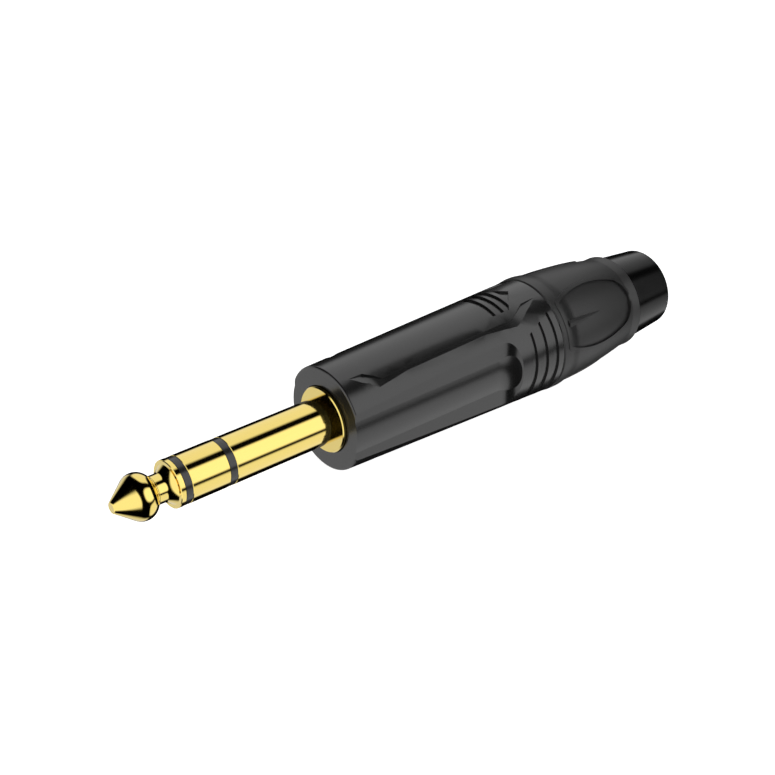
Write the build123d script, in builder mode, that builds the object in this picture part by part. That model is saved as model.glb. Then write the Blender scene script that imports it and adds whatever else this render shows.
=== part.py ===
"""Stereo jack plug: a 6.35 mm three-contact plug in a die-cast shell with a screw-on boot.

Millimetres. The axis lies along X, nose at -X and cable end at +X, and +Z is up. The origin is on
the axis, in the flange face that seats on the socket. Angles about the axis count from +Z, and
grow towards -Y.
"""
import os
from math import acos, cos, degrees, radians, sin, tan

from build123d import *

# The plug's outside: three contacts and two insulating rings, measured back from the nose
shank_r = 3.175
plug_length = 31.75
tip_length = 8.71
front_gap = 0.94
ring_length = 5.6
rear_gap = 1.01
edge_break = 0.09
ring_recess = 0.03

# The tip: a cone, a rounded ball, two fine collar rings, and a neck that the socket's spring
# drops into, flared like a trumpet at its rear
ball_r = 3.09
ball_at = 3.8
ball_round = 1.95
ball_back_turn = 62.0
cone_angle = 37.0
collar_rings = 2
collar_groove = 0.12
collar_pitch = 0.17
neck_r = 1.9
neck_length = 0.8
flare_round = 1.15
nose_round = 0.2

# The contacts are nested: rod, tube, ring stem, tube, sleeve
rod_r = 0.9
front_tube_r = 1.35
stem_r = 1.95
rear_tube_r = 2.4
slip = 0.04

# The flange on the sleeve, and what holds it behind the shell's front wall
flange_r = 4.55
flange_proud = 0.5
flange_bevel = 0.12
front_wall = 1.6
flange_slip = 0.12
shoulder_length = 1.6
key_width = 1.4
key_depth = 0.8
key_slip = 0.1

# The stack of washers and lugs behind the sleeve
lug_thickness = 0.45
lug_clearance = 0.4
lug_corner_round = 0.6
stake_length = 0.5
stake_lip = 0.35
ground_hole_r = 3.55
ground_tail_length = 11.5
ground_tail_width = 3.0
ring_plate_r = 3.8
ring_tail_length = 8.5
ring_tail_width = 2.6
tip_plate_r = 3.3
tip_tail_length = 8.0
tip_tail_width = 2.4
solder_hole_r = 0.6
solder_hole_inset = 1.7
washer_thickness = 0.8
washer_r = 3.25
rivet_r = 1.5
rivet_height = 0.45
rivet_round_share = 0.8
lug_angles = {"ground": 180, "ring": 60, "tip": -60}

# The shell: a cone with a pocket in each side, two raised panels and three sets of ribs
shell_length = 35.9
shell_flare = 1.05
shell_edge = 0.3
liner_slip = 0.05
liner_wall = 0.5
liner_length = 16.8
case_slip = 0.1
core_wall = 1.1
pocket_wall = 0.7
pocket_step = 0.47
pocket_length = 28.5
pocket_corner = 2.6
pocket_corner_turn = 80.0
pocket_scoop = 5.0
scoop_beyond = 5.0
thread_depth = 7.5
overshoot = 1.0

# Corners of the raised panel's edge, and of the foot of the ramp beside it: place and angle
panel_edge = [(1.9, 24.2), (3.8, 24.4), (6.0, 37.0), (29.3, 33.5), (32.1, 21.9), (34.4, 21.3)]
panel_foot = [(1.9, 25.4), (5.1, 45.0), (10.0, 40.0), (24.0, 38.0), (29.3, 42.5), (33.8, 25.0), (34.4, 22.5)]
panel_drop = [
    (1.9, 0.05), (3.8, 0.3), (6.0, 0.15), (8.0, 0.04), (27.0, 0.04), (29.3, 0.17), (32.1, 0.3), (34.4, 0.05),
]
panel_top_drop = 0.6
ramp_beyond = 1.15

# The ribs: bands sunk across the top panel, and round each side
top_rib_bands = [(26.4, 27.35), (28.0, 28.9), (29.4, 30.35), (31.0, 32.8)]
top_rib_depth = 0.3
top_rib_angle = 23.0
chevron_root = 29.7
chevron_point = 32.6
side_rib_starts = [30.05, 32.05, 34.0]
side_rib_angles = [53.5, 47.0, 41.0]
side_rib_width = 0.98
side_rib_depth = 0.28
side_rib_lead = 3.5
side_leg_width = 0.2

# The boot: a soft grip over a hard core, with three pads that the fingers turn it by
parting_gap = 0.12
boot_length = 17.2
rim_step = 0.08
rim_length = 1.4
waist_drop = 0.35
waist_at = 3.7
belly_drop = 0.79
belly_at = 10.5
heel_drop = 1.53
heel_at = 15.5
heel_wall = 0.87
lip_rise = 0.06
lip_round = 0.2
pad_angles = [60, 180, 300]
pad_start = 0.85
pad_end = 15.7
pad_front_half = 3.5
pad_half = 4.85
pad_widest_at = 7.8
pad_rear_half = 3.6
pad_rear_at = 13.8
pad_heel_round = 2.0
pad_front_round = 0.6
pad_bead_width = 0.4
pad_bead_height = 0.17
pad_bead_front_height = 0.08
pad_depth = 0.3
pad_front_depth = 0.16
pad_lean = 1.2
pad_gap_half = 0.5
rib_half = 0.55
rib_start = 1.75
rib_length = 8.0
rib_sink = 0.15
rib_roof = 0.22
rib_point = 0.02
tab_half_angle = 4.0
boot_chamfer = 0.2

# The hard core under the grip is the back nut: spigot, cone and the glossy tail collar
spigot_clearance = 0.1
spigot_length = 7.0
spigot_wall = 1.3
thread_height = 0.4
core_step = 0.65
bond = 0.03
tail_length = 7.5
tail_step = 0.4
tail_taper = 0.7
tail_round = 0.35
cable_r = 3.7
mouth_round = 0.6

# The chuck: a slotted collet that the back nut's cone closes on the cable
chuck_ring_length = 3.4
chuck_ring_step = 0.5
chuck_bore_r = 3.6
chuck_body_r = 5.0
chuck_jaw_r = 4.2
chuck_jaw_bore_r = 3.3
chuck_taper_length = 6.5
chuck_slip = 0.15
chuck_slots = 4
chuck_slot_width = 1.1
tongue_length = 3.0
tongue_width = 2.2
tongue_slip = 0.15
tooth_depth = 0.25
tooth_pitch = 1.2
tooth_count = 3

# Places along the axis that several pieces share
nose_x = -plug_length
tip_end = nose_x + tip_length
ring_start = tip_end + front_gap
ring_end = ring_start + ring_length
sleeve_start = ring_end + rear_gap
shell_front = flange_proud
shell_rear = shell_front + shell_length
shoulder_front = shell_front + front_wall
shoulder_rear = shoulder_front + shoulder_length
boss_end = shoulder_rear + lug_thickness + stake_length
ring_lug_front = boss_end + washer_thickness
ring_lug_rear = ring_lug_front + lug_thickness
stem_end = ring_lug_rear + stake_lip
tip_lug_front = stem_end + washer_thickness
tip_lug_rear = tip_lug_front + lug_thickness
liner_end = shoulder_rear + liner_length
thread_start = shell_rear - thread_depth
boot_front = shell_rear + parting_gap
boot_rear = boot_front + boot_length
tail_end = boot_rear + tail_length
chuck_front = liner_end + tongue_slip
chuck_taper_start = boot_front
chuck_rear = chuck_taper_start + chuck_taper_length
cable_start = chuck_rear + chuck_slip

# Radii that follow from what each piece surrounds, from the chuck outwards
chuck_ring_r = chuck_body_r + chuck_ring_step
liner_r = chuck_ring_r + liner_slip
ground_plate_r = liner_r - liner_wall - lug_clearance
bore_r = liner_r + case_slip
pocket_flat = bore_r + pocket_wall
pocket_core_r = bore_r + core_wall
shell_front_r = pocket_core_r + pocket_step
shell_rear_r = shell_front_r + shell_flare
spigot_bore_r = chuck_body_r + chuck_slip
thread_r = spigot_bore_r + spigot_wall
thread_root_r = thread_r - thread_height
core_front_r = thread_r + core_step
rim_r = shell_rear_r + rim_step
waist_r = rim_r - waist_drop
belly_r = rim_r - belly_drop
heel_r = rim_r - heel_drop
lip_r = heel_r + lip_rise
core_rear_r = heel_r - heel_wall
tail_front_r = heel_r - tail_step
tail_rear_r = tail_front_r - tail_taper

os.makedirs("parts", exist_ok=True)


def polar(radius, angle):
    """A point across the axis, in the Y and Z of a plane square to it."""
    return (-radius * sin(radians(angle)), radius * cos(radians(angle)))


def outwards(angle, radius=1.0):
    """The vector from the axis out to a radius at an angle."""
    return Vector(0, *polar(radius, angle))


def spoke(angle):
    """The plane through the axis whose y points outwards at the angle."""
    return Plane(
        origin=(0, 0, 0),
        x_dir=(1, 0, 0),
        z_dir=Vector(1, 0, 0).cross(outwards(angle)),
    )


def half_section(*outline, plane=Plane.XY):
    """A closed section beside the axis, given as places along it and radii."""
    with BuildSketch(plane) as section:
        with BuildLine():
            Polyline(*outline, close=True)
        make_face()
    return section.sketch


def shell_radius(x):
    """The outside radius of the shell's cone at a place along the axis."""
    return shell_front_r + (shell_rear_r - shell_front_r) * (x - shell_front) / shell_length


def sunk_band(front, rear, depth, angle, arc):
    """A band round part of the shell's cone, cut to an even depth."""
    return revolve(
        half_section(
            (front, shell_rear_r + overshoot),
            (front, shell_radius(front) - depth),
            (rear, shell_radius(rear) - depth),
            (rear, shell_rear_r + overshoot),
            plane=spoke(angle),
        ),
        axis=Axis.X,
        revolution_arc=arc,
    )


def between(corners, x):
    """The value at x on a line drawn through corners."""
    for (x0, a0), (x1, a1) in zip(corners, corners[1:]):
        if x <= x1:
            break
    return a0 + (a1 - a0) * (x - x0) / (x1 - x0)


# Tip contact: head, and the rod that runs back to its rivet
ball_centre = Vector(nose_x + ball_at, ball_r - ball_round)
ball_front = ball_centre + Vector(0, ball_round).rotate(Axis.Z, cone_angle)
ball_back = ball_centre + Vector(0, ball_round).rotate(Axis.Z, -ball_back_turn)
nose_r = ball_front.Y - (ball_front.X - nose_x) * tan(radians(cone_angle))
neck_start = ball_back.X + collar_rings * collar_pitch
flare_start = neck_start + neck_length
with BuildPart() as tip_contact:
    with BuildSketch() as tip_head:
        with BuildLine():
            Polyline((nose_x, 0), (nose_x, nose_r), ball_front)
            ThreePointArc(ball_front, ball_centre + Vector(0, ball_round), ball_back)
            rings = [ball_back]
            for ring in range(collar_rings):
                ring_front = ball_back.X + ring * collar_pitch
                rings += [
                    (ring_front, ball_back.Y - collar_groove),
                    (ring_front + collar_pitch / 2, ball_back.Y - collar_groove),
                    (ring_front + collar_pitch / 2, ball_back.Y),
                    (ring_front + collar_pitch, ball_back.Y),
                ]
            Polyline(*rings, (neck_start, neck_r), (flare_start, neck_r))
            flare = JernArc((flare_start, neck_r), (1, 0), flare_round, 90)
            Polyline(
                flare @ 1,
                (flare_start + flare_round, shank_r - edge_break),
                (flare_start + flare_round + edge_break, shank_r),
                (tip_end - edge_break, shank_r),
                (tip_end, shank_r - edge_break),
                (tip_end, 0),
                (nose_x, 0),
            )
        make_face()
        fillet(tip_head.vertices().group_by(Axis.X)[0].sort_by(Axis.Y)[-1], nose_round)
    revolve(axis=Axis.X)
    with BuildSketch(Plane.YZ.offset(tip_end)):
        Circle(rod_r)
    extrude(amount=tip_lug_rear - tip_end)
    with BuildSketch(Plane.YZ.offset(tip_lug_rear)):
        Circle(rivet_r)
    extrude(amount=rivet_height)
    fillet(tip_contact.edges().group_by(Axis.X)[-1], rivet_height * rivet_round_share)
tip_contact.part.label = "tip_contact"
export_step(tip_contact.part, "parts/tip_contact.step")


def nested_insulator(ring_front, ring_rear, tube_r, bore, tube_end):
    """An insulating ring between two contacts, with the tube that lines the one behind it."""
    return half_section(
        (ring_front, bore),
        (ring_front, shank_r - ring_recess),
        (ring_rear, shank_r - ring_recess),
        (ring_rear, tube_r),
        (tube_end, tube_r),
        (tube_end, bore),
    )


# Tip insulator: the front black ring and its tube round the rod
tip_tube_end = stem_end + washer_thickness / 2
with BuildPart() as tip_insulator:
    revolve(
        nested_insulator(tip_end, ring_start, front_tube_r, rod_r + slip, tip_tube_end),
        axis=Axis.X,
    )
tip_insulator.part.label = "tip_insulator"
export_step(tip_insulator.part, "parts/tip_insulator.step")

# Ring contact: the middle band, and the stem staked over the ring lug
with BuildPart() as ring_contact:
    revolve(
        half_section(
            (ring_start, front_tube_r + slip),
            (ring_start, shank_r - edge_break),
            (ring_start + edge_break, shank_r),
            (ring_end - edge_break, shank_r),
            (ring_end, shank_r - edge_break),
            (ring_end, stem_r),
            (ring_lug_rear, stem_r),
            (ring_lug_rear, stem_r + stake_lip),
            (stem_end, stem_r),
            (stem_end, front_tube_r + slip),
        ),
        axis=Axis.X,
    )
ring_contact.part.label = "ring_contact"
export_step(ring_contact.part, "parts/ring_contact.step")

# Ring insulator: the rear black ring and its tube round the stem
with BuildPart() as ring_insulator:
    revolve(
        nested_insulator(ring_end, sleeve_start, rear_tube_r, stem_r + slip, boss_end),
        axis=Axis.X,
    )
ring_insulator.part.label = "ring_insulator"
export_step(ring_insulator.part, "parts/ring_insulator.step")

# Sleeve contact: shank, flange, shoulder and the boss staked over the ground lug
sleeve_bore_r = rear_tube_r + slip
shoulder_r = bore_r - case_slip
boss_r = ground_hole_r - slip
with BuildPart() as sleeve_contact:
    revolve(
        half_section(
            (sleeve_start, sleeve_bore_r),
            (sleeve_start, shank_r - edge_break),
            (sleeve_start + edge_break, shank_r),
            (0, shank_r),
            (0, flange_r - flange_bevel),
            (flange_bevel, flange_r),
            (shoulder_front, flange_r),
            (shoulder_front, shoulder_r),
            (shoulder_rear, shoulder_r),
            (shoulder_rear, boss_r),
            (shoulder_rear + lug_thickness, boss_r),
            (shoulder_rear + lug_thickness, boss_r + stake_lip),
            (boss_end, boss_r + stake_lip),
            (boss_end, sleeve_bore_r),
        ),
        axis=Axis.X,
    )
    with BuildSketch(Plane.YZ.offset(shoulder_front)):
        with Locations(polar(shoulder_r, lug_angles["ground"])):
            Rectangle(key_width + 2 * key_slip, 2 * (key_depth + key_slip))
    extrude(amount=shoulder_length, mode=Mode.SUBTRACT)
sleeve_contact.part.label = "sleeve_contact"
export_step(sleeve_contact.part, "parts/sleeve_contact.step")


def solder_lug(front, plate_r, hole_r, tail_length, tail_width, angle):
    """A stamped lug: a washer on the stack, and a tail bent back along the axis with an eye."""
    with BuildPart() as lug:
        with BuildSketch(Plane.YZ.offset(front)):
            Circle(plate_r - lug_thickness)
        extrude(amount=lug_thickness)
        with BuildSketch(spoke(angle)):
            with BuildLine():
                Polyline(
                    (front, 0),
                    (front, plate_r),
                    (front + tail_length, plate_r),
                    (front + tail_length, plate_r - lug_thickness),
                    (front + lug_thickness, plate_r - lug_thickness),
                    (front + lug_thickness, 0),
                    close=True,
                )
            make_face()
        extrude(amount=tail_width / 2, both=True)
        tail_corners = lug.edges().group_by(Axis.X)[-1].sort_by(SortBy.LENGTH)[:2]
        fillet(tail_corners, lug_corner_round)
        with BuildSketch(Plane.YZ.offset(front)):
            Circle(hole_r)
        extrude(amount=lug_thickness, mode=Mode.SUBTRACT)
        eye = outwards(angle, plate_r) + Vector(front + tail_length - solder_hole_inset, 0, 0)
        with BuildSketch(Plane(origin=eye, x_dir=(1, 0, 0), z_dir=outwards(angle))):
            Circle(solder_hole_r)
        extrude(amount=-2 * lug_thickness, mode=Mode.SUBTRACT)
    return lug.part


# The three lugs, each with its tail at its own angle
lugs = {
    "ground_lug": solder_lug(
        shoulder_rear, ground_plate_r, ground_hole_r, ground_tail_length, ground_tail_width,
        lug_angles["ground"],
    ),
    "ring_lug": solder_lug(
        ring_lug_front, ring_plate_r, stem_r + slip, ring_tail_length, ring_tail_width,
        lug_angles["ring"],
    ),
    "tip_lug": solder_lug(
        tip_lug_front, tip_plate_r, rod_r + slip, tip_tail_length, tip_tail_width,
        lug_angles["tip"],
    ),
}
for lug_name, lug_part in lugs.items():
    lug_part.label = lug_name
    export_step(lug_part, f"parts/{lug_name}.step")

# Inner washer: insulates the sleeve's boss from the ring lug
with BuildPart() as inner_washer:
    with BuildSketch(Plane.YZ.offset(boss_end)):
        Circle(washer_r)
        Circle(stem_r + slip, mode=Mode.SUBTRACT)
    extrude(amount=washer_thickness)
inner_washer.part.label = "inner_washer"
export_step(inner_washer.part, "parts/inner_washer.step")

# Outer washer: recessed over the staked stem, it insulates the ring lug from the tip lug
outer_washer_r = ring_plate_r - lug_thickness - 2 * slip
with BuildPart() as outer_washer:
    revolve(
        half_section(
            (ring_lug_rear, stem_r + stake_lip + 2 * slip),
            (ring_lug_rear, outer_washer_r),
            (tip_lug_front, outer_washer_r),
            (tip_lug_front, rod_r + slip),
            (tip_tube_end, rod_r + slip),
            (tip_tube_end, front_tube_r + slip),
            (stem_end, front_tube_r + slip),
            (stem_end, stem_r + stake_lip + 2 * slip),
        ),
        axis=Axis.X,
    )
outer_washer.part.label = "outer_washer"
export_step(outer_washer.part, "parts/outer_washer.step")

# Liner: the insulating tube round the lugs, notched at its rear for the chuck's tongues
with BuildPart() as liner:
    with BuildSketch(Plane.YZ.offset(shoulder_rear)):
        Circle(liner_r)
        Circle(liner_r - liner_wall, mode=Mode.SUBTRACT)
    extrude(amount=liner_length)
    with BuildSketch(Plane.XZ):
        with Locations((liner_end, 0)):
            Rectangle(2 * (tongue_length + tongue_slip), tongue_width + 2 * tongue_slip)
    extrude(amount=liner_r, both=True, mode=Mode.SUBTRACT)
liner.part.label = "liner"
export_step(liner.part, "parts/liner.step")

# The pocket in each side of the shell: a flat cut that stops at the round core, and a scooped end
pocket_end = shell_front + pocket_length
scoop_rise = shell_radius(pocket_end) - pocket_core_r
scoop_angle = degrees(acos(1 - scoop_rise / pocket_scoop))
scoop_start = pocket_end - pocket_scoop * sin(radians(scoop_angle))
clear_r = shell_rear_r + overshoot
with BuildPart() as pocket:
    with BuildSketch():
        with BuildLine():
            flat = Line((shell_front - overshoot, pocket_flat), (pocket_end - pocket_corner, pocket_flat))
            corner = JernArc(flat @ 1, flat % 1, pocket_corner, pocket_corner_turn)
            Polyline(
                corner @ 1,
                (pocket_end + overshoot, clear_r),
                (shell_front - overshoot, clear_r),
                (shell_front - overshoot, pocket_flat),
            )
        make_face()
    extrude(amount=clear_r, both=True)
    with BuildSketch():
        with BuildLine():
            core = Line((shell_front - 2 * overshoot, pocket_core_r), (scoop_start, pocket_core_r))
            scoop = JernArc(core @ 1, core % 1, pocket_scoop, scoop_angle + scoop_beyond)
            Polyline(
                scoop @ 1,
                (pocket_end + overshoot, 2 * clear_r),
                (pocket_end + overshoot, 0),
                (shell_front - 2 * overshoot, 0),
                (shell_front - 2 * overshoot, pocket_core_r),
            )
        make_face()
    revolve(axis=Axis.X, mode=Mode.SUBTRACT)
    mirror(about=Plane.XZ)


def ramp_section(x):
    """A slice of the ramp below the panel's edge: a steep wall inside, a shallow slope outside."""
    place = shell_front + x
    radius = shell_radius(place)
    foot = Vector(*polar(radius - between(panel_drop, x), between(panel_edge, x)))
    rim = Vector(*polar(radius, between(panel_foot, x)))
    beyond = foot + (rim - foot) * ramp_beyond
    with BuildSketch(Plane.YZ.offset(place)) as section:
        with BuildLine():
            Polyline(
                (foot.X, foot.Y),
                (beyond.X, beyond.Y),
                polar(radius + panel_top_drop, between(panel_edge, x)),
                close=True,
            )
        make_face()
    return section.sketch


# The ramp along each edge of the top panel, and of the same panel underneath
with BuildPart() as panel_ramp:
    ramp_places = sorted({x for x, _ in panel_edge + panel_foot + panel_drop})
    loft(sections=[ramp_section(x) for x in ramp_places], ruled=True)
    mirror(about=Plane.XZ)
    mirror(about=Plane.XY)

# The bands across each panel, cut off at the rear along a chevron
with BuildPart() as top_ribs:
    for start, end in top_rib_bands:
        sunk_band(shell_front + start, shell_front + end, top_rib_depth, -top_rib_angle, 2 * top_rib_angle)
    chevron_half = shell_rear_r * sin(radians(top_rib_angle))
    with BuildSketch():
        with BuildLine():
            Polyline(
                (shell_front, chevron_half),
                (shell_front + chevron_root, chevron_half),
                (shell_front + chevron_point, 0),
                (shell_front + chevron_root, -chevron_half),
                (shell_front, -chevron_half),
                close=True,
            )
        make_face()
    extrude(amount=2 * clear_r, mode=Mode.INTERSECT)
    mirror(about=Plane.XY)

# The bands round each side, with arrow-shaped ends
side_grooves = []
for start, tip_angle in zip(side_rib_starts, side_rib_angles):
    groove_front = shell_front + start
    groove_rear = groove_front + side_rib_width
    groove_r = shell_radius(groove_rear)
    with BuildPart() as groove:
        sunk_band(groove_front, groove_rear, side_rib_depth, tip_angle, 2 * (90 - tip_angle))
        lead = groove_r * radians(side_rib_lead)
        ends = ((tip_angle, 1), (180 - tip_angle, -1))
        for end_angle, turn in ends:
            along = outwards(end_angle + 90) * turn
            split(
                bisect_by=Plane(
                    origin=outwards(end_angle, groove_r) + Vector(groove_rear, 0, 0),
                    z_dir=Vector(lead, 0, 0) + along * side_rib_width,
                ),
                keep=Keep.TOP,
            )
        for end_angle, turn in ends:
            leg = outwards(end_angle + 90) * turn * lead - Vector(side_rib_width, 0, 0)
            apex = outwards(end_angle, groove_r) + Vector(groove_rear, 0, 0)
            with BuildSketch(Plane(origin=apex, x_dir=leg, z_dir=outwards(end_angle))):
                Rectangle(leg.length, side_leg_width, align=(Align.MIN, Align.CENTER))
            extrude(amount=side_rib_depth, both=True)
        mirror(about=Plane.XZ)
    side_grooves.append(groove)

# Shell: one die casting, open at the rear for the boot's thread
with BuildPart() as shell:
    with BuildSketch() as shell_section:
        with BuildLine():
            Polyline(
                (shell_front, 0),
                (shell_front, shell_front_r),
                (shell_rear, shell_rear_r),
                (shell_rear, 0),
                close=True,
            )
        make_face()
        rims = shell_section.vertices().group_by(Axis.Y)
        fillet(rims[-2], shell_edge)
        chamfer(rims[-1], boot_chamfer)
    revolve(axis=Axis.X)
    for cutter in (pocket, panel_ramp, top_ribs, *side_grooves):
        add(cutter.part, mode=Mode.SUBTRACT)
    revolve(
        half_section(
            (shell_front - overshoot, 0),
            (shell_front - overshoot, flange_r + flange_slip),
            (shoulder_front, flange_r + flange_slip),
            (shoulder_front, bore_r),
            (thread_start, bore_r),
            (thread_start, thread_r + spigot_clearance),
            (shell_rear + overshoot, thread_r + spigot_clearance),
            (shell_rear + overshoot, 0),
        ),
        axis=Axis.X,
        mode=Mode.SUBTRACT,
    )
    with BuildSketch(Plane.YZ.offset(shoulder_front)):
        with Locations(polar(bore_r, lug_angles["ground"])):
            Rectangle(key_width, 2 * key_depth)
        Circle(bore_r + case_slip, mode=Mode.INTERSECT)
    extrude(amount=shoulder_length - key_slip)
shell.part.label = "shell"
export_step(shell.part, "parts/shell.step")

# Chuck: a collet whose ring keys into the liner and whose jaws close on the cable
jaw_start = chuck_front + chuck_ring_length
teeth_start = chuck_rear - (tooth_count + 0.5) * tooth_pitch
with BuildPart() as chuck:
    revolve(
        half_section(
            (chuck_front, chuck_bore_r),
            (chuck_front, chuck_ring_r),
            (jaw_start, chuck_ring_r),
            (jaw_start, chuck_body_r),
            (chuck_taper_start, chuck_body_r),
            (chuck_rear, chuck_jaw_r),
            (chuck_rear, chuck_jaw_bore_r),
            (chuck_taper_start, chuck_jaw_bore_r),
            (chuck_taper_start, chuck_bore_r),
        ),
        axis=Axis.X,
    )
    with BuildSketch(Plane.XZ.offset(-chuck_ring_r)):
        with Locations((chuck_front, 0)):
            Rectangle(2 * tongue_length, tongue_width)
    extrude(amount=2 * chuck_ring_r)
    revolve(
        half_section(
            (chuck_front - tongue_length, 0),
            (chuck_front - tongue_length, liner_r - liner_wall),
            (chuck_front, liner_r - liner_wall),
            (chuck_front, chuck_bore_r),
            (chuck_front + tongue_length, chuck_bore_r),
            (chuck_front + tongue_length, 0),
        ),
        axis=Axis.X,
        mode=Mode.SUBTRACT,
    )
    for tooth in range(tooth_count):
        place = teeth_start + tooth * tooth_pitch
        revolve(
            half_section(
                (place, chuck_jaw_bore_r),
                (place + tooth_pitch / 2, chuck_jaw_bore_r + tooth_depth),
                (place + tooth_pitch, chuck_jaw_bore_r),
                (place + tooth_pitch / 2, 0),
            ),
            axis=Axis.X,
            mode=Mode.SUBTRACT,
        )
    with BuildSketch(Plane.YZ.offset(jaw_start + chuck_slot_width)):
        with PolarLocations(0, chuck_slots):
            with Locations((chuck_body_r, 0)):
                Rectangle(2 * chuck_body_r, chuck_slot_width)
    extrude(amount=chuck_rear - jaw_start, mode=Mode.SUBTRACT)
chuck.part.label = "chuck"
export_step(chuck.part, "parts/chuck.step")

# Back nut: the spigot that screws into the shell, the core under the grip and the tail collar
spigot_start = shell_rear - spigot_length
with BuildPart() as back_nut:
    with BuildSketch() as nut_section:
        with BuildLine():
            Polyline(
                (spigot_start, spigot_bore_r),
                (spigot_start, thread_root_r),
                (boot_front, thread_root_r),
                (boot_front, core_front_r),
                (boot_rear, core_rear_r),
                (boot_rear, tail_front_r),
                (tail_end, tail_rear_r),
                (tail_end, cable_r),
                (cable_start, cable_r),
                (cable_start, chuck_jaw_r + chuck_slip),
                (chuck_taper_start, spigot_bore_r),
                close=True,
            )
        make_face()
        tail = nut_section.vertices().group_by(Axis.X)[-1].sort_by(Axis.Y)
        fillet(tail[-1], tail_round)
        fillet(nut_section.vertices().group_by(Axis.X)[-1].sort_by(Axis.Y)[0], mouth_round)
        chamfer(nut_section.vertices().group_by(Axis.X)[0].sort_by(Axis.Y)[-1], boot_chamfer)
    revolve(axis=Axis.X)
back_nut.part.label = "back_nut"
export_step(back_nut.part, "parts/back_nut.step")


def grip_section(plane=Plane.XY, inset=0.0, rim_inset=0.0):
    """The grip's outer half section, drawn in by an inset: rim, waist, belly and rear lip."""
    with BuildSketch(plane) as section:
        with BuildLine():
            rim = Line(
                (boot_front, rim_r - rim_inset),
                (boot_front + rim_length, rim_r - rim_inset),
            )
            belly = ThreePointArc(
                (boot_front + waist_at, waist_r - inset),
                (boot_front + belly_at, belly_r - inset),
                (boot_front + heel_at, heel_r - inset),
            )
            Spline(rim @ 1, belly @ 0, tangents=(rim % 1, belly % 0))
            Polyline(
                belly @ 1,
                (boot_rear, lip_r - inset),
                (boot_rear, 0),
                (boot_front, 0),
                (boot_front, rim_r - rim_inset),
            )
        make_face()
    return section.sketch


def facing(angle):
    """The plane through the axis that faces outwards at the angle, with x along the axis."""
    return Plane(origin=(0, 0, 0), x_dir=(1, 0, 0), z_dir=outwards(angle))


def pad_outline(angle, inset=0.0):
    """The pad's outline seen square on: blunt in front, widest past the middle, round behind."""
    front = boot_front + pad_start + inset
    rear = boot_front + pad_end - inset
    widest = boot_front + pad_widest_at
    heel = boot_front + pad_rear_at
    with BuildSketch(facing(angle)) as outline:
        with BuildLine():
            near = ThreePointArc(
                (front, inset - pad_front_half),
                (widest, inset - pad_half),
                (heel, inset - pad_rear_half),
            )
            end = ThreePointArc(near @ 1, (rear, 0), (heel, pad_rear_half - inset))
            far = ThreePointArc(end @ 1, (widest, pad_half - inset), (front, pad_front_half - inset))
            Line(far @ 1, near @ 0)
        make_face()
        fillet(outline.vertices().group_by(Axis.X)[-1], pad_heel_round)
        fillet(outline.vertices().group_by(Axis.X)[0], pad_front_round)
    return outline.sketch


def pad_bead(angle):
    """The raised line round a pad, open at the rear on its middle line."""
    with BuildPart() as bead:
        extrude(pad_outline(angle), amount=clear_r)
        extrude(pad_outline(angle, pad_bead_width), amount=clear_r, mode=Mode.SUBTRACT)
        revolve(
            grip_section(inset=-pad_bead_height, rim_inset=-pad_bead_front_height),
            axis=Axis.X,
            mode=Mode.INTERSECT,
        )
        with BuildSketch(facing(angle)):
            with Locations((boot_front + pad_end, 0)):
                Rectangle(4 * pad_bead_width, 2 * pad_gap_half)
        extrude(amount=clear_r, mode=Mode.SUBTRACT)
    return bead.part


def pad_recess(angle):
    """What is cut away over a pad: down to a flatter cone than the grip's own."""
    flatter_axis = Axis(outwards(angle, -pad_lean), (1, 0, 0))
    with BuildPart() as recess:
        extrude(pad_outline(angle, pad_bead_width), amount=clear_r)
        revolve(
            grip_section(spoke(angle), pad_depth, pad_front_depth),
            axis=flatter_axis,
            mode=Mode.SUBTRACT,
        )
    return recess.part


def pad_rib(angle):
    """The raised wedge on a pad's middle line: a low roof that narrows and sinks to a point."""
    point_at = rib_start + rib_length
    point_r = between([(waist_at, waist_r), (belly_at, belly_r)], point_at) - pad_depth
    roofs = []
    for place, half, foot_r in ((rib_start, rib_half, rim_r - rib_sink), (point_at, rib_point, point_r)):
        across = Plane(origin=(boot_front + place, 0, 0), x_dir=outwards(angle - 90), z_dir=(1, 0, 0))
        with BuildSketch(across) as roof:
            with BuildLine():
                Polyline(
                    (-half, core_front_r),
                    (-half, foot_r),
                    (0, foot_r + rib_roof * half / rib_half),
                    (half, foot_r),
                    (half, core_front_r),
                    close=True,
                )
            make_face()
        roofs.append(roof.sketch)
    with BuildPart() as wedge:
        loft(sections=roofs, ruled=True)
    return wedge.part


# Grip: the soft boot moulded round the core, three pads with a raised line and a wedge each
with BuildPart() as grip_boot:
    revolve(grip_section(), axis=Axis.X)
    fillet(grip_boot.edges().group_by(Axis.X)[-1], lip_round)
    for angle in pad_angles:
        add(pad_bead(angle))
        add(pad_recess(angle), mode=Mode.SUBTRACT)
        add(pad_rib(angle))
        revolve(
            half_section(
                (boot_front - boot_chamfer, rim_r + boot_chamfer),
                (boot_front - boot_chamfer, rim_r - 2 * boot_chamfer),
                (boot_front + boot_chamfer, rim_r),
                (boot_front + boot_chamfer, rim_r + boot_chamfer),
                plane=spoke(angle + tab_half_angle),
            ),
            axis=Axis.X,
            revolution_arc=360 / len(pad_angles) - 2 * tab_half_angle,
            mode=Mode.SUBTRACT,
        )
    revolve(
        half_section(
            (boot_front - overshoot, 0),
            (boot_front - overshoot, core_front_r + bond),
            (boot_front, core_front_r + bond),
            (boot_rear, core_rear_r + bond),
            (boot_rear + overshoot, core_rear_r + bond),
            (boot_rear + overshoot, 0),
        ),
        axis=Axis.X,
        mode=Mode.SUBTRACT,
    )
grip_boot.part.label = "grip_boot"
export_step(grip_boot.part, "parts/grip_boot.step")
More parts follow.
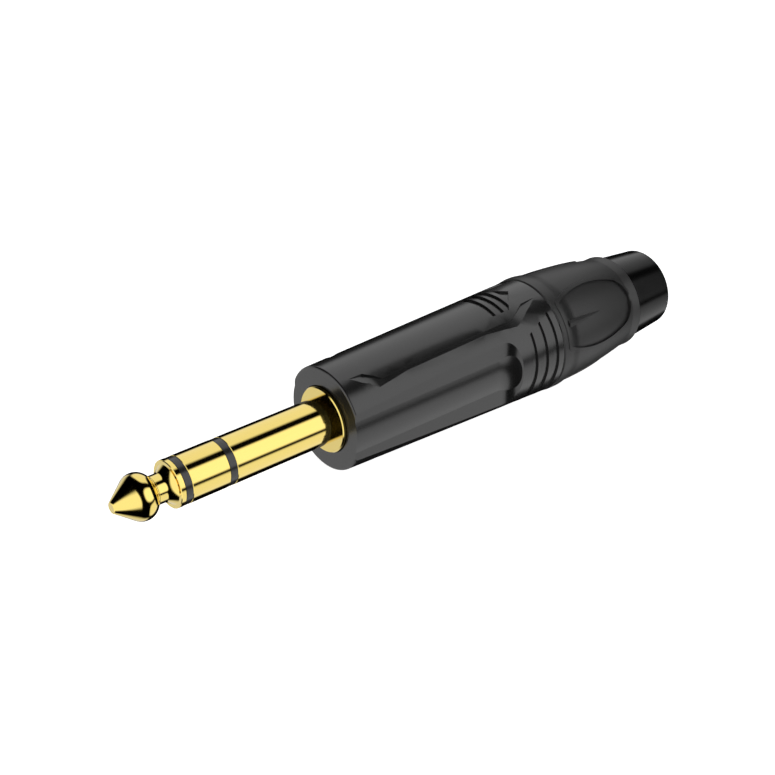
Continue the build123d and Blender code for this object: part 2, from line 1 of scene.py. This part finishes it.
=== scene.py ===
# %% [markdown]
# # A stereo jack plug, dressed for its portrait
#
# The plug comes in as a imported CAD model, in metres, with its axis along X, its nose at -X and its
# cable end at +X. Nothing of it is moved here. This lesson gives each piece its finish, turns the
# tip once more, cuts the screw thread that the CAD leaves plain, and builds the studio. The light
# is most of the picture, because gold shows nothing of its own, only what stands round it.

# %% Load the frame
from math import cos, degrees, pi, radians, sin

import bmesh
import bpy
from mathutils import Matrix, Vector


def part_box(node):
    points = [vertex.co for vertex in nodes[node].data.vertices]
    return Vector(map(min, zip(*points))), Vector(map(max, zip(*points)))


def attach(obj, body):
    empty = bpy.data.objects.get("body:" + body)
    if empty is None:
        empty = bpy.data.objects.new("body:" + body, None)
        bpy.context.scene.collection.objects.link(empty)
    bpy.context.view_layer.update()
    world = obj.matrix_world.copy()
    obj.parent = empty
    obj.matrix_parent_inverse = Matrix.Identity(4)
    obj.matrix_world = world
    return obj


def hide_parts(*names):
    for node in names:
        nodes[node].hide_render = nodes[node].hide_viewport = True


MM = 0.001

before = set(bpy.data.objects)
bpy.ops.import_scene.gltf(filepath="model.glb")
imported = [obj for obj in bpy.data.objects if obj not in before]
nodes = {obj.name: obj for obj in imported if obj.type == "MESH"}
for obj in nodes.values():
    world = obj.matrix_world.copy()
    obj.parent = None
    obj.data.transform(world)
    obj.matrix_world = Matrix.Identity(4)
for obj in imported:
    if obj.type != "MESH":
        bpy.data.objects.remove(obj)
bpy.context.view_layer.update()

# %% [markdown]
# ## The camera
#
# The picture was taken from the plug's near left, about 30 degrees above it, with a long lens:
# the shank's edges hardly draw together. The axes below were solved from the outline of the
# shank and the shell, and they fix where the camera stands and how it is turned.

# %% Camera
PICTURE = 775
FOCAL_PIXELS = 1589.0
SENSOR = 36.0
NEAREST = 10 * MM
CAMERA_PLACE = Vector((-107.4, -141.5, 106.5)) * MM
CAMERA_RIGHT = Vector((0.7664, -0.6423, 0.0)).normalized()
CAMERA_FORWARD = Vector((0.5574, 0.6651, -0.4969)).normalized()
CAMERA_UP = CAMERA_RIGHT.cross(CAMERA_FORWARD)

camera_data = bpy.data.cameras.new("camera")
camera_data.sensor_width = SENSOR
camera_data.lens = SENSOR * FOCAL_PIXELS / PICTURE
camera_data.clip_start = NEAREST
camera = bpy.data.objects.new("camera", camera_data)
bpy.context.scene.collection.objects.link(camera)
turn = Matrix((CAMERA_RIGHT, CAMERA_UP, -CAMERA_FORWARD)).transposed().to_4x4()
camera.matrix_world = Matrix.Translation(CAMERA_PLACE) @ turn
bpy.context.scene.camera = camera
print("lens, mm:", round(camera_data.lens, 2))

# %% [markdown]
# ## Writing shaders as maths
#
# A node tree is easier to read when its maths is a line of Python. `Wire` holds an output socket,
# and adding or multiplying wires adds the Math nodes. `Graph.add` makes every other node: its
# type, its settings, then what goes into its sockets.


# %% Wires
class Wire:
    """An output socket that maths can be written with."""

    def __init__(self, graph, socket):
        self.graph = graph
        self.socket = socket

    def __add__(self, other):
        return self.graph.math("ADD", self, other)

    def __radd__(self, other):
        return self.graph.math("ADD", other, self)

    def __sub__(self, other):
        return self.graph.math("SUBTRACT", self, other)

    def __rsub__(self, other):
        return self.graph.math("SUBTRACT", other, self)

    def __mul__(self, other):
        return self.graph.math("MULTIPLY", self, other)

    def __rmul__(self, other):
        return self.graph.math("MULTIPLY", other, self)

    def __pow__(self, power):
        return self.graph.math("POWER", self, power)

    def __rpow__(self, base):
        return self.graph.math("POWER", base, self)

    def __abs__(self):
        return self.graph.math("ABSOLUTE", self)


# %% Graph
class Graph:
    """A node tree, emptied and then filled one node at a time."""

    def __init__(self, tree):
        self.tree = tree
        tree.nodes.clear()

    def add(self, kind, settings=None, values=None, output=0):
        node = self.tree.nodes.new(kind)
        for name, value in (settings or {}).items():
            setattr(node, name, value)
        for name, value in (values or {}).items():
            if isinstance(value, Wire):
                self.tree.links.new(value.socket, node.inputs[name])
            else:
                node.inputs[name].default_value = value
        return Wire(self, node.outputs[output]) if node.outputs else None

    def math(self, operation, *values):
        return self.add("ShaderNodeMath", {"operation": operation}, dict(enumerate(values)))

    def smooth_step(self, value, start, end):
        """0 before start and 1 after end, easing in and out between them."""
        return self.add(
            "ShaderNodeMapRange",
            {"interpolation_type": "SMOOTHSTEP"},
            {"Value": value, "From Min": start, "From Max": end},
        )

    def mix_colour(self, share, first, second):
        settings = {"data_type": "RGBA"}
        return self.add("ShaderNodeMix", settings, {0: share, 6: first, 7: second}, 2)


# %% [markdown]
# ## The studio
#
# On the real set, long softboxes stand round the plug, in line with it, with black gaps between
# them. Each shows in the gold as a bright stripe, and each gap as a black one. They could be area
# lights, but an area light has a hard edge, and these fade at theirs. So the world's shader draws
# them instead. First it splits a direction into two angles: the one round the plug's axis, from
# straight up towards the camera's side, and the one from the axis, from the cable end.

# %% Directions as angles
world = bpy.data.worlds.new("studio")
bpy.context.scene.world = world
world.use_nodes = True
studio = Graph(world.node_tree)
direction = studio.add("ShaderNodeTexCoord", output="Generated")
x_part = studio.add("ShaderNodeSeparateXYZ", values={"Vector": direction}, output="X")
y_part = studio.add("ShaderNodeSeparateXYZ", values={"Vector": direction}, output="Y")
z_part = studio.add("ShaderNodeSeparateXYZ", values={"Vector": direction}, output="Z")
IN_DEGREES = degrees(1.0)
round_axis = studio.math("ARCTAN2", 0.0 - y_part, z_part) * IN_DEGREES
from_axis = studio.math("ARCCOSINE", x_part) * IN_DEGREES
print("nodes for a direction:", len(world.node_tree.nodes))

# %% [markdown]
# ## A softbox
#
# Each softbox is a window in both angles. Raising the two distances from its middle to the same
# power and adding them makes a rounded oblong: a power of 2 would give an oval, and a very high
# one sharp corners. The end towards the cable is cut off straight, because the boxes stand on a
# line there.

# %% Softboxes
SOFTBOXES = {
    # middle and half width round the axis; where it starts, is widest and ends, from the axis;
    # brightness
    "over the top": (-35.5, 36.5, 37.0, 58.0, 85.0, 0.89),
    "in front": (62.5, 31.5, 38.5, 58.0, 97.0, 1.17),
    "below": (140.5, 30.5, 36.5, 58.0, 79.0, 0.90),
    "behind and below": (-130.0, 50.0, 76.0, 106.0, 137.0, 0.71),
}
SOFT_EDGE = 0.2
SOFT_END = 7.0
CORNERS = 2.5
HALF_TURN = 180.0


def softbox(around, half_width, first, widest, last, brightness):
    """How bright the box looks in a direction: nothing outside it, brightness in its middle."""
    turned = studio.math("WRAP", round_axis - around, -HALF_TURN, HALF_TURN)
    off_side = turned * (1.0 / half_width)
    past_widest = studio.math("MAXIMUM", from_axis - widest, 0.0)
    off_end = past_widest * (1.0 / (last - widest))
    off_centre = abs(off_side) ** CORNERS + off_end ** CORNERS
    outside = (1 + SOFT_EDGE) ** CORNERS
    inside = (1 - SOFT_EDGE) ** CORNERS
    window = studio.smooth_step(off_centre, outside, inside)
    begun = studio.smooth_step(from_axis, first - SOFT_END / 2, first + SOFT_END / 2)
    return window * begun * brightness


boxes = [softbox(*angles) for angles in SOFTBOXES.values()]
print("softboxes:", ", ".join(SOFTBOXES))

# %% [markdown]
# ## The nose lamp
#
# One more lamp stands ahead of the nose. It makes the bright wedge on the cone and the oval in
# the flare. It is round, so a disc is enough: all directions within an angle of its middle.

# %% Nose lamp
LAMP_ROUND_AXIS = 119.0
LAMP_FROM_AXIS = 174.0
LAMP_HALF_WIDTH = 47.0
LAMP_EDGE = 8.0
LAMP_BRIGHTNESS = 1.05

lamp_off_axis = sin(radians(LAMP_FROM_AXIS))
lamp_x = cos(radians(LAMP_FROM_AXIS))
lamp_y = -lamp_off_axis * sin(radians(LAMP_ROUND_AXIS))
lamp_z = lamp_off_axis * cos(radians(LAMP_ROUND_AXIS))
towards_lamp = x_part * lamp_x + y_part * lamp_y + z_part * lamp_z
off_lamp = studio.math("ARCCOSINE", towards_lamp) * IN_DEGREES
disc = studio.smooth_step(
    off_lamp, LAMP_HALF_WIDTH + LAMP_EDGE / 2, LAMP_HALF_WIDTH - LAMP_EDGE / 2
)
print("nose lamp towards:", [round(part, 2) for part in (lamp_x, lamp_y, lamp_z)])

# %% [markdown]
# ## White paper behind it all
#
# The picture's background is white paper, while the gold has black between its stripes. So what
# the camera sees past the plug is paper, and what the plug mirrors is the dark studio with its
# lamps. The whole sky is sampled as one lamp, and a fine map of it keeps the grain low.

# %% World
WHITE = (1.0, 1.0, 1.0, 1.0)
SKY_MAP = 1024

strength = sum(boxes, disc * LAMP_BRIGHTNESS)
paper = studio.add("ShaderNodeBackground", values={"Color": WHITE, "Strength": 1.0})
lamps = studio.add("ShaderNodeBackground", values={"Color": WHITE, "Strength": strength})
seen = studio.add("ShaderNodeLightPath", output="Is Camera Ray")
shown = studio.add("ShaderNodeMixShader", values={0: seen, 1: lamps, 2: paper})
studio.add("ShaderNodeOutputWorld", values={"Surface": shown})
world.cycles.sampling_method = "MANUAL"
world.cycles.sample_map_resolution = SKY_MAP
bpy.context.scene.view_settings.view_transform = "Standard"
print("nodes in the studio:", len(world.node_tree.nodes))

# %% [markdown]
# ## The floor
#
# The plug lies on the front of its shell and on the boot's rim, so the floor passes under those
# two places, a little out of level with the axis. It could be a plane set level below the plug,
# but then one of the two would float.

# %% Floor
SHELL_FRONT_R = 7.22 * MM
FLOOR_HALF = 3.0
ACROSS = Vector((0, 1, 0))

shell_low, shell_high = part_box("shell")
boot_low, boot_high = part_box("grip_boot")
front_foot = Vector((shell_low.x, 0, -SHELL_FRONT_R))
rear_foot = Vector((boot_low.x, 0, boot_low.z))
slope = (rear_foot - front_foot).normalized()

floor_mesh = bpy.data.meshes.new("floor")
sheet = bmesh.new()
bmesh.ops.create_grid(sheet, x_segments=1, y_segments=1, size=FLOOR_HALF)
lie = Matrix((slope, ACROSS, slope.cross(ACROSS))).transposed().to_4x4()
bmesh.ops.transform(sheet, matrix=Matrix.Translation(front_foot) @ lie, verts=sheet.verts)
sheet.to_mesh(floor_mesh)
sheet.free()
floor = bpy.data.objects.new("floor", floor_mesh)
bpy.context.scene.collection.objects.link(floor)
print("floor out of level by, degrees:", round(degrees(slope.angle(Vector((1, 0, 0)))), 2))

# %% [markdown]
# ## The floor's paper
#
# The paper is lit past white, so the picture has no shadow. It shows from above only. The boxes
# below the plug have to shine through it, so it stops no light, and it isn't seen in the gold.

# %% Floor paper
PAPER_GLOW = 0.95

floor.visible_glossy = False
floor.visible_diffuse = False
floor.visible_shadow = False
floor_paper = bpy.data.materials.new("floor_paper")
floor_paper.use_nodes = True
graph = Graph(floor_paper.node_tree)
lit = graph.add("ShaderNodeBsdfDiffuse", values={"Color": WHITE})
glow = graph.add("ShaderNodeEmission", values={"Strength": PAPER_GLOW})
white = graph.add("ShaderNodeAddShader", values={0: lit, 1: glow})
clear = graph.add("ShaderNodeBsdfTransparent")
under = graph.add("ShaderNodeNewGeometry", output="Backfacing")
one_sided = graph.add("ShaderNodeMixShader", values={0: under, 1: white, 2: clear})
graph.add("ShaderNodeOutputMaterial", values={"Surface": one_sided})
floor_mesh.materials.append(floor_paper)
print("floor nodes:", len(floor_paper.node_tree.nodes))

# %% [markdown]
# ## Fine relief
#
# What tells plated brass from moulded nylon is the fine relief, so it is given at its real size:
# turning marks of hundredths of a millimetre, mould grain of a tenth. It could be painted, but a
# noise on Object coordinates needs no seams and stays on the piece in every pose. Stretching the
# noise across the axis leaves rings, because then it changes along X only.

# %% Relief
PER_MM = 1000.0
EVERY_WAY = (1.0, 1.0, 1.0)
ROUND_THE_AXIS = (1.0, 0.0, 0.0)
RELIEF_DETAIL = 2.0


def relief(graph, place, wave, height, stretch, under):
    """Waves and heights in mm, laid over the relief that is already there."""
    spread = graph.add("ShaderNodeMapping", values={"Vector": place, "Scale": stretch})
    values = {"Vector": spread, "Scale": PER_MM / wave, "Detail": RELIEF_DETAIL}
    noise = graph.add("ShaderNodeTexNoise", values=values)
    values = {"Height": noise, "Distance": height * MM}
    if under is not None:
        values["Normal"] = under
    return graph.add("ShaderNodeBump", values=values)


# %% [markdown]
# ## How a finish is written
#
# Each finish is one Principled shader. Nothing that is handled is even all over, so its colour
# and its gloss drift between two values, in smears a few millimetres wide. What doesn't drift,
# such as how strongly it bends light, is set on the shader's own socket.

# %% Finish
SMEAR = 3.0
SMEAR_DETAIL = 4.0


def finish(name, colours, gloss, layers, **even):
    """A shader whose colour and roughness drift between two values, over layers of relief."""
    material = bpy.data.materials.new(name)
    material.use_nodes = True
    graph = Graph(material.node_tree)
    place = graph.add("ShaderNodeTexCoord", output="Object")
    values = {"Vector": place, "Scale": PER_MM / SMEAR, "Detail": SMEAR_DETAIL}
    smear = graph.add("ShaderNodeTexNoise", values=values)
    values = {label.replace("_", " "): value for label, value in even.items()}
    values["Base Color"] = graph.mix_colour(smear, *colours)
    values["Roughness"] = gloss[0] + smear * (gloss[1] - gloss[0])
    normal = None
    for wave, height, stretch in layers:
        normal = relief(graph, place, wave, height, stretch, normal)
    values["Normal"] = normal
    surface = graph.add("ShaderNodeBsdfPrincipled", values=values)
    graph.add("ShaderNodeOutputMaterial", values={"Surface": surface})
    print(name, "roughness", gloss, "waves, mm:", [wave for wave, *_ in layers])
    return material


def grey(value):
    return (value, value, value, 1.0)


# %% [markdown]
# ## Gold plate
#
# The contacts are turned brass, plated with nickel and then gold. The lathe leaves rings too fine
# to see one by one, so the noise runs along the axis only, and each wave goes all the way round.
# Gold alone is too red where it is seen at a slant. A clear coat over it whitens those edges,
# which is how the picture has them.

# %% Gold
gold_plate = finish(
    "gold_plate",
    [(1.0, 0.755, 0.15, 1.0), (1.0, 0.765, 0.165, 1.0)],
    (0.075, 0.105),
    [(0.03, 0.00004, ROUND_THE_AXIS), (0.5, 0.0002, EVERY_WAY)],
    Metallic=1.0,
    Coat_Weight=1.0,
    Coat_IOR=1.8,
    Coat_Roughness=0.06,
)

# %% [markdown]
# ## The black coat of the shell
#
# The zinc shell is sprayed with a satin black. Paint dries with a faint orange peel, waves of a
# third of a millimetre, and carries a matting powder that is finer still. The first breaks up the
# edges of the reflections, and the second spreads them.

# %% Shell coat
satin_coat = finish(
    "black_satin_coat",
    [grey(0.011), grey(0.013)],
    (0.215, 0.265),
    [(0.35, 0.0004, EVERY_WAY), (0.06, 0.0006, EVERY_WAY)],
    IOR=1.75,
)

# %% [markdown]
# ## Soft rubber and hard plastic
#
# The grip is a soft rubber moulded over the nut. Its mould was etched to a fine grain, and
# rubber is greyer than paint because it scatters a little light from inside. The nut under it is
# a hard gloss plastic: nearly no grain, only the slow waves of the mould's flow.

# %% Grip and nut
grip_rubber = finish(
    "soft_grip_rubber",
    [grey(0.027), grey(0.031)],
    (0.40, 0.45),
    [(0.12, 0.0022, EVERY_WAY), (0.045, 0.0008, EVERY_WAY)],
    IOR=1.62,
)
nut_plastic = finish(
    "black_gloss_plastic",
    [grey(0.0035), grey(0.0045)],
    (0.15, 0.19),
    [(2.5, 0.0015, EVERY_WAY), (0.08, 0.0002, EVERY_WAY)],
    IOR=1.5,
)

# %% [markdown]
# ## The insulating rings
#
# Two black rings keep the three contacts apart. They are moulded and then ground flush with the
# gold in one pass, so they carry faint rings of their own, coarser than the gold's.

# %% Insulators
ring_plastic = finish(
    "insulator_plastic",
    [grey(0.028), grey(0.032)],
    (0.18, 0.23),
    [(0.05, 0.0001, ROUND_THE_AXIS), (0.08, 0.0003, EVERY_WAY)],
    IOR=1.65,
)

# %% [markdown]
# ## What the shell hides
#
# The lugs are stamped brass, dipped in tin, which freezes in faint flowers. The washers are
# brown paper laminate with its fibres lying in the sheet. The liner is a pale plastic tube, and
# the chuck grey nylon. All of them are finished too, because the plug may be taken apart.

# %% Hidden pieces
ACROSS_THE_SHEET = (4.0, 1.0, 0.3)

tin_plate = finish(
    "tin_plate",
    [(0.76, 0.72, 0.64, 1.0), (0.80, 0.76, 0.69, 1.0)],
    (0.24, 0.40),
    [(0.8, 0.0015, EVERY_WAY), (0.06, 0.0003, EVERY_WAY)],
    Metallic=1.0,
)
paper_laminate = finish(
    "paper_laminate",
    [(0.13, 0.055, 0.022, 1.0), (0.20, 0.09, 0.04, 1.0)],
    (0.48, 0.62),
    [(0.25, 0.004, ACROSS_THE_SHEET), (0.08, 0.002, EVERY_WAY)],
)
pale_plastic = finish(
    "pale_plastic",
    [(0.69, 0.67, 0.61, 1.0), (0.74, 0.72, 0.66, 1.0)],
    (0.42, 0.52),
    [(1.8, 0.002, EVERY_WAY), (0.1, 0.001, EVERY_WAY)],
)
grey_nylon = finish(
    "grey_nylon",
    [(0.028, 0.028, 0.031, 1.0), (0.034, 0.034, 0.037, 1.0)],
    (0.36, 0.46),
    [(1.5, 0.002, EVERY_WAY), (0.09, 0.001, EVERY_WAY)],
)

# %% [markdown]
# ## Dressing the CAD's pieces
#
# The CAD's pieces keep their shape and only change their finish. Each belongs to a slot, which is
# what the parts list calls its material. Going by slots, and not piece by piece, makes sure that
# the three contacts get the same gold.

# %% Dress the CAD nodes
FINISHES = {
    "gold_contact": gold_plate,
    "tinned_lug": tin_plate,
    "black_insulator": ring_plastic,
    "brown_laminate": paper_laminate,
    "pale_liner": pale_plastic,
    "black_shell": satin_coat,
    "grey_chuck": grey_nylon,
    "black_nut": nut_plastic,
    "soft_grip": grip_rubber,
}
MEMBERS = {
    "gold_contact": ["tip_contact", "ring_contact", "sleeve_contact"],
    "tinned_lug": ["ground_lug", "ring_lug", "tip_lug"],
    "black_insulator": ["tip_insulator", "ring_insulator"],
    "brown_laminate": ["inner_washer", "outer_washer"],
    "pale_liner": ["liner"],
    "black_shell": ["shell"],
    "grey_chuck": ["chuck"],
    "black_nut": ["back_nut"],
    "soft_grip": ["grip_boot"],
}
for slot, members in MEMBERS.items():
    for member in members:
        mesh = nodes[member].data
        mesh.materials.clear()
        mesh.materials.append(FINISHES[slot])
print("dressed:", sum(len(members) for members in MEMBERS.values()), "nodes")

# %% [markdown]
# ## From a bmesh to a piece
#
# The new pieces are drawn in millimetres, like the drawing of the real one. One helper does what
# all of them need at the end: it turns the normals outwards, scales to metres, keeps the turned
# corners sharp, and says which body the piece rides on.

# %% Make a piece
SHARP = radians(32.0)


def make_piece(name, shape, body, slot):
    bmesh.ops.recalc_face_normals(shape, faces=shape.faces)
    bmesh.ops.scale(shape, vec=(MM, MM, MM), verts=shape.verts)
    mesh = bpy.data.meshes.new(name)
    shape.to_mesh(mesh)
    shape.free()
    mesh.shade_smooth()
    mesh.set_sharp_from_angle(angle=SHARP)
    mesh.materials.append(FINISHES[slot])
    piece = bpy.data.objects.new(name, mesh)
    bpy.context.scene.collection.objects.link(piece)
    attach(piece, body)
    print(name, "has", len(mesh.polygons), "faces")
    return piece


# %% [markdown]
# ## The path of a lathe tool
#
# The tip's mirror shows every hair of its outline, so the outline is drawn here again, in finer
# steps than the CAD's mesh has. It is drawn the way a lathe tool travels. A straight move is a
# point that is extruded, and a round one is a point that is spun. A positive turn rounds the
# metal outwards, and a negative one hollows it.

# %% The tool's moves
ARC_STEPS = 16


def cut_to(path, point, x, r):
    """A straight move of the tool to a place along the axis and a radius."""
    moved = bmesh.ops.extrude_vert_indiv(path, verts=[point])["verts"][0]
    moved.co = (x, 0.0, r)
    return moved


def cut_round(path, point, x, r, turn):
    """A round move about a centre, by a turn in degrees."""
    spun = bmesh.ops.spin(
        path, geom=[point], cent=(x, 0, r), axis=(0, 1, 0), angle=radians(turn), steps=ARC_STEPS
    )
    return [v for v in spun["geom_last"] if isinstance(v, bmesh.types.BMVert)][0]


# %% [markdown]
# ## The cone and the ball
#
# The nose is a small flat with a rounded edge. From it the cone widens in a straight line and
# runs into the ball without a corner, so its line ends where the ball has the cone's own slope.

# %% Turn the ball
NOSE_X = -31.75
NOSE_ROUND = 0.2
CONE = 37.0
BALL_X = NOSE_X + 3.8
BALL_R = 3.09
BALL_ROUND = 1.95
BALL_BACK_TURN = 62.0

ball_r = BALL_R - BALL_ROUND
cone_x = BALL_X + BALL_ROUND * sin(radians(-CONE))
cone_r = ball_r + BALL_ROUND * cos(radians(-CONE))
slant = radians(CONE)
nose_r = cone_r - (cone_x - NOSE_X) * sin(slant) / cos(slant)
nose_in = NOSE_ROUND * (1 - sin(slant)) / cos(slant)

path = bmesh.new()
tool = path.verts.new((NOSE_X, 0.0, 0.0))
tool = cut_to(path, tool, NOSE_X, nose_r - nose_in)
tool = cut_round(path, tool, NOSE_X + NOSE_ROUND, nose_r - nose_in, 90.0 - CONE)
tool = cut_to(path, tool, cone_x, cone_r)
tool = cut_round(path, tool, BALL_X, ball_r, CONE + BALL_BACK_TURN)
print("ball ends at", round(tool.co.x, 2), "and radius", round(tool.co.z, 2))

# %% [markdown]
# ## The collar's beads
#
# Behind the ball the tool leaves two shallow beads, a tenth of a millimetre wide. They are arcs
# of a larger circle and not half rounds, so that each shows only as a fine line.

# %% Turn the beads
NECK_R = 1.9
BEADS = 2
BEAD_FOOT_R = 1.93
BEAD_ROUND = 0.13
BEAD_HALF_TURN = 28.0

bead_half = BEAD_ROUND * sin(radians(BEAD_HALF_TURN))
bead_r = BEAD_FOOT_R - BEAD_ROUND * cos(radians(BEAD_HALF_TURN))
tool = cut_to(path, tool, tool.co.x, BEAD_FOOT_R)
for bead in range(BEADS):
    tool = cut_round(path, tool, tool.co.x + bead_half, bead_r, 2 * BEAD_HALF_TURN)
tool = cut_to(path, tool, tool.co.x, NECK_R)
print("neck starts at", round(tool.co.x, 2))

# %% [markdown]
# ## The flare
#
# Behind the neck the tip widens again. The flare opens in a short arc and goes on in a long,
# slack one, up to half a right angle, and only near its rim does it hold one bright oval of the
# nose lamp. A single quarter round would mirror the whole lamp as a narrow band. A small step
# follows, and then the land that the socket's spring rests on.

# %% Turn the flare
FLARE_X = -25.05
FLARE_START_ROUND = 0.9
FLARE_START_TURN = 30.0
FLARE_ROUND = 4.0
FLARE_TURN = 14.5
SHANK_R = 3.175
CORNER = 0.09
TIP_END = -23.04
ROD_R = 0.9

tool = cut_to(path, tool, FLARE_X, NECK_R)
tool = cut_round(path, tool, FLARE_X, NECK_R + FLARE_START_ROUND, -FLARE_START_TURN)
flare_x = tool.co.x - FLARE_ROUND * sin(radians(FLARE_START_TURN))
flare_r = tool.co.z + FLARE_ROUND * cos(radians(FLARE_START_TURN))
tool = cut_round(path, tool, flare_x, flare_r, -FLARE_TURN)
rim_x = tool.co.x
tool = cut_to(path, tool, rim_x, SHANK_R - CORNER)
tool = cut_to(path, tool, rim_x + CORNER, SHANK_R)
tool = cut_to(path, tool, TIP_END - CORNER, SHANK_R)
tool = cut_to(path, tool, TIP_END, SHANK_R - CORNER)
tool = cut_to(path, tool, TIP_END, ROD_R)
print("rim at", round(rim_x, 2), "land", round(TIP_END - rim_x, 2))

# %% [markdown]
# ## The rod and its rivet
#
# The tip's rod runs through the whole plug and is riveted over the tip's lug, so the same line
# goes on to the rear. Then it is spun round the axis. The full spin leaves its first and last
# lines on top of each other, and the nose and the rivet as points, and both are merged.

# %% Turn the rod
RIVET_X = 7.5
RIVET_R = 1.5
RIVET_HEIGHT = 0.45
RIVET_ROUND = 0.36
TURN_STEPS = 144
TOUCH = 1e-5

tool = cut_to(path, tool, RIVET_X, ROD_R)
tool = cut_to(path, tool, RIVET_X, RIVET_R)
tool = cut_to(path, tool, RIVET_X + RIVET_HEIGHT - RIVET_ROUND, RIVET_R)
tool = cut_round(path, tool, tool.co.x, RIVET_R - RIVET_ROUND, 90.0)
tool = cut_to(path, tool, tool.co.x, 0.0)
bmesh.ops.spin(
    path,
    geom=path.verts[:] + path.edges[:],
    cent=(0, 0, 0),
    axis=(1, 0, 0),
    angle=2 * pi,
    steps=TURN_STEPS,
    use_merge=True,
)
bmesh.ops.remove_doubles(path, verts=path.verts, dist=TOUCH)
turned_tip = make_piece("turned_tip", path, "plug", "gold_contact")
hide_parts("tip_contact")

# %% [markdown]
# ## The screw thread
#
# The nut screws into the shell on a fine thread of 1 mm pitch. The CAD has the spigot at the
# thread's root and the bore at its outside, with the room for the ridges between them. A ridge
# could be a curve with a bevel, but a lathe cuts it with one pointed tool, and spin does the
# same: a flat tooth goes round the axis and moves on by the pitch in every turn. It starts and
# ends two turns too far out, and the two ends are cut off square.

# %% Cut a ridge
PITCH = 1.0
FLANK = radians(30.0)
CREST_FLAT = 0.16
STEPS_A_TURN = 72
SPARE_TURNS = 2


def cut_ridge(name, body, slot, root_r, crest_r, start, end, ahead):
    """A right-handed ridge. Ahead is where its tooth stands in the pitch, from 0 to 1."""
    shape = bmesh.new()
    crest_half = CREST_FLAT / 2
    root_half = crest_half + abs(crest_r - root_r) * sin(FLANK) / cos(FLANK)
    middle = start - (SPARE_TURNS - ahead) * PITCH
    outline = [(-root_half, root_r), (-crest_half, crest_r)]
    outline += [(crest_half, crest_r), (root_half, root_r)]
    tooth = shape.faces.new([shape.verts.new((middle + along, 0, r)) for along, r in outline])
    turns = int((end - start) / PITCH) + 2 * SPARE_TURNS
    bmesh.ops.spin(
        shape,
        geom=[tooth, *tooth.edges, *tooth.verts],
        cent=(0, 0, 0),
        axis=(1, 0, 0),
        dvec=(PITCH / STEPS_A_TURN, 0, 0),
        angle=2 * pi * turns,
        steps=turns * STEPS_A_TURN,
    )
    for place, outwards in ((start, -1.0), (end, 1.0)):
        cut = bmesh.ops.bisect_plane(
            shape,
            geom=shape.verts[:] + shape.edges[:] + shape.faces[:],
            plane_co=(place, 0, 0),
            plane_no=(outwards, 0, 0),
            clear_outer=True,
        )
        rim = [edge for edge in cut["geom_cut"] if isinstance(edge, bmesh.types.BMEdge)]
        bmesh.ops.triangle_fill(shape, edges=rim, use_beauty=True)
    return make_piece(name, shape, body, slot)


# %% [markdown]
# ## Both halves of the thread
#
# The nut's ridge stands out and the shell's stands in, half a pitch apart, and each is sunk a
# little into the wall that carries it. The joint lets the boot move 1 mm for each turn, so the
# two pass each other without touching.

# %% Thread on the nut, thread in the shell
SPIGOT_R = 6.05
BORE_R = 6.55
RIDGE_HEIGHT = 0.4
SUNK = 0.03
LEAD_IN = 0.4
ON_THE_PITCH = 0.0
HALF_A_PITCH_ON = 0.5

spigot_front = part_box("back_nut")[0].x / MM
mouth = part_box("shell")[1].x / MM
cut_ridge(
    "nut_thread", "boot", "black_nut", SPIGOT_R - SUNK, SPIGOT_R + RIDGE_HEIGHT,
    spigot_front + LEAD_IN, mouth - LEAD_IN, ON_THE_PITCH,
)
cut_ridge(
    "shell_thread", "plug", "black_shell", BORE_R + SUNK, BORE_R - RIDGE_HEIGHT,
    spigot_front, mouth - LEAD_IN, HALF_A_PITCH_ON,
)
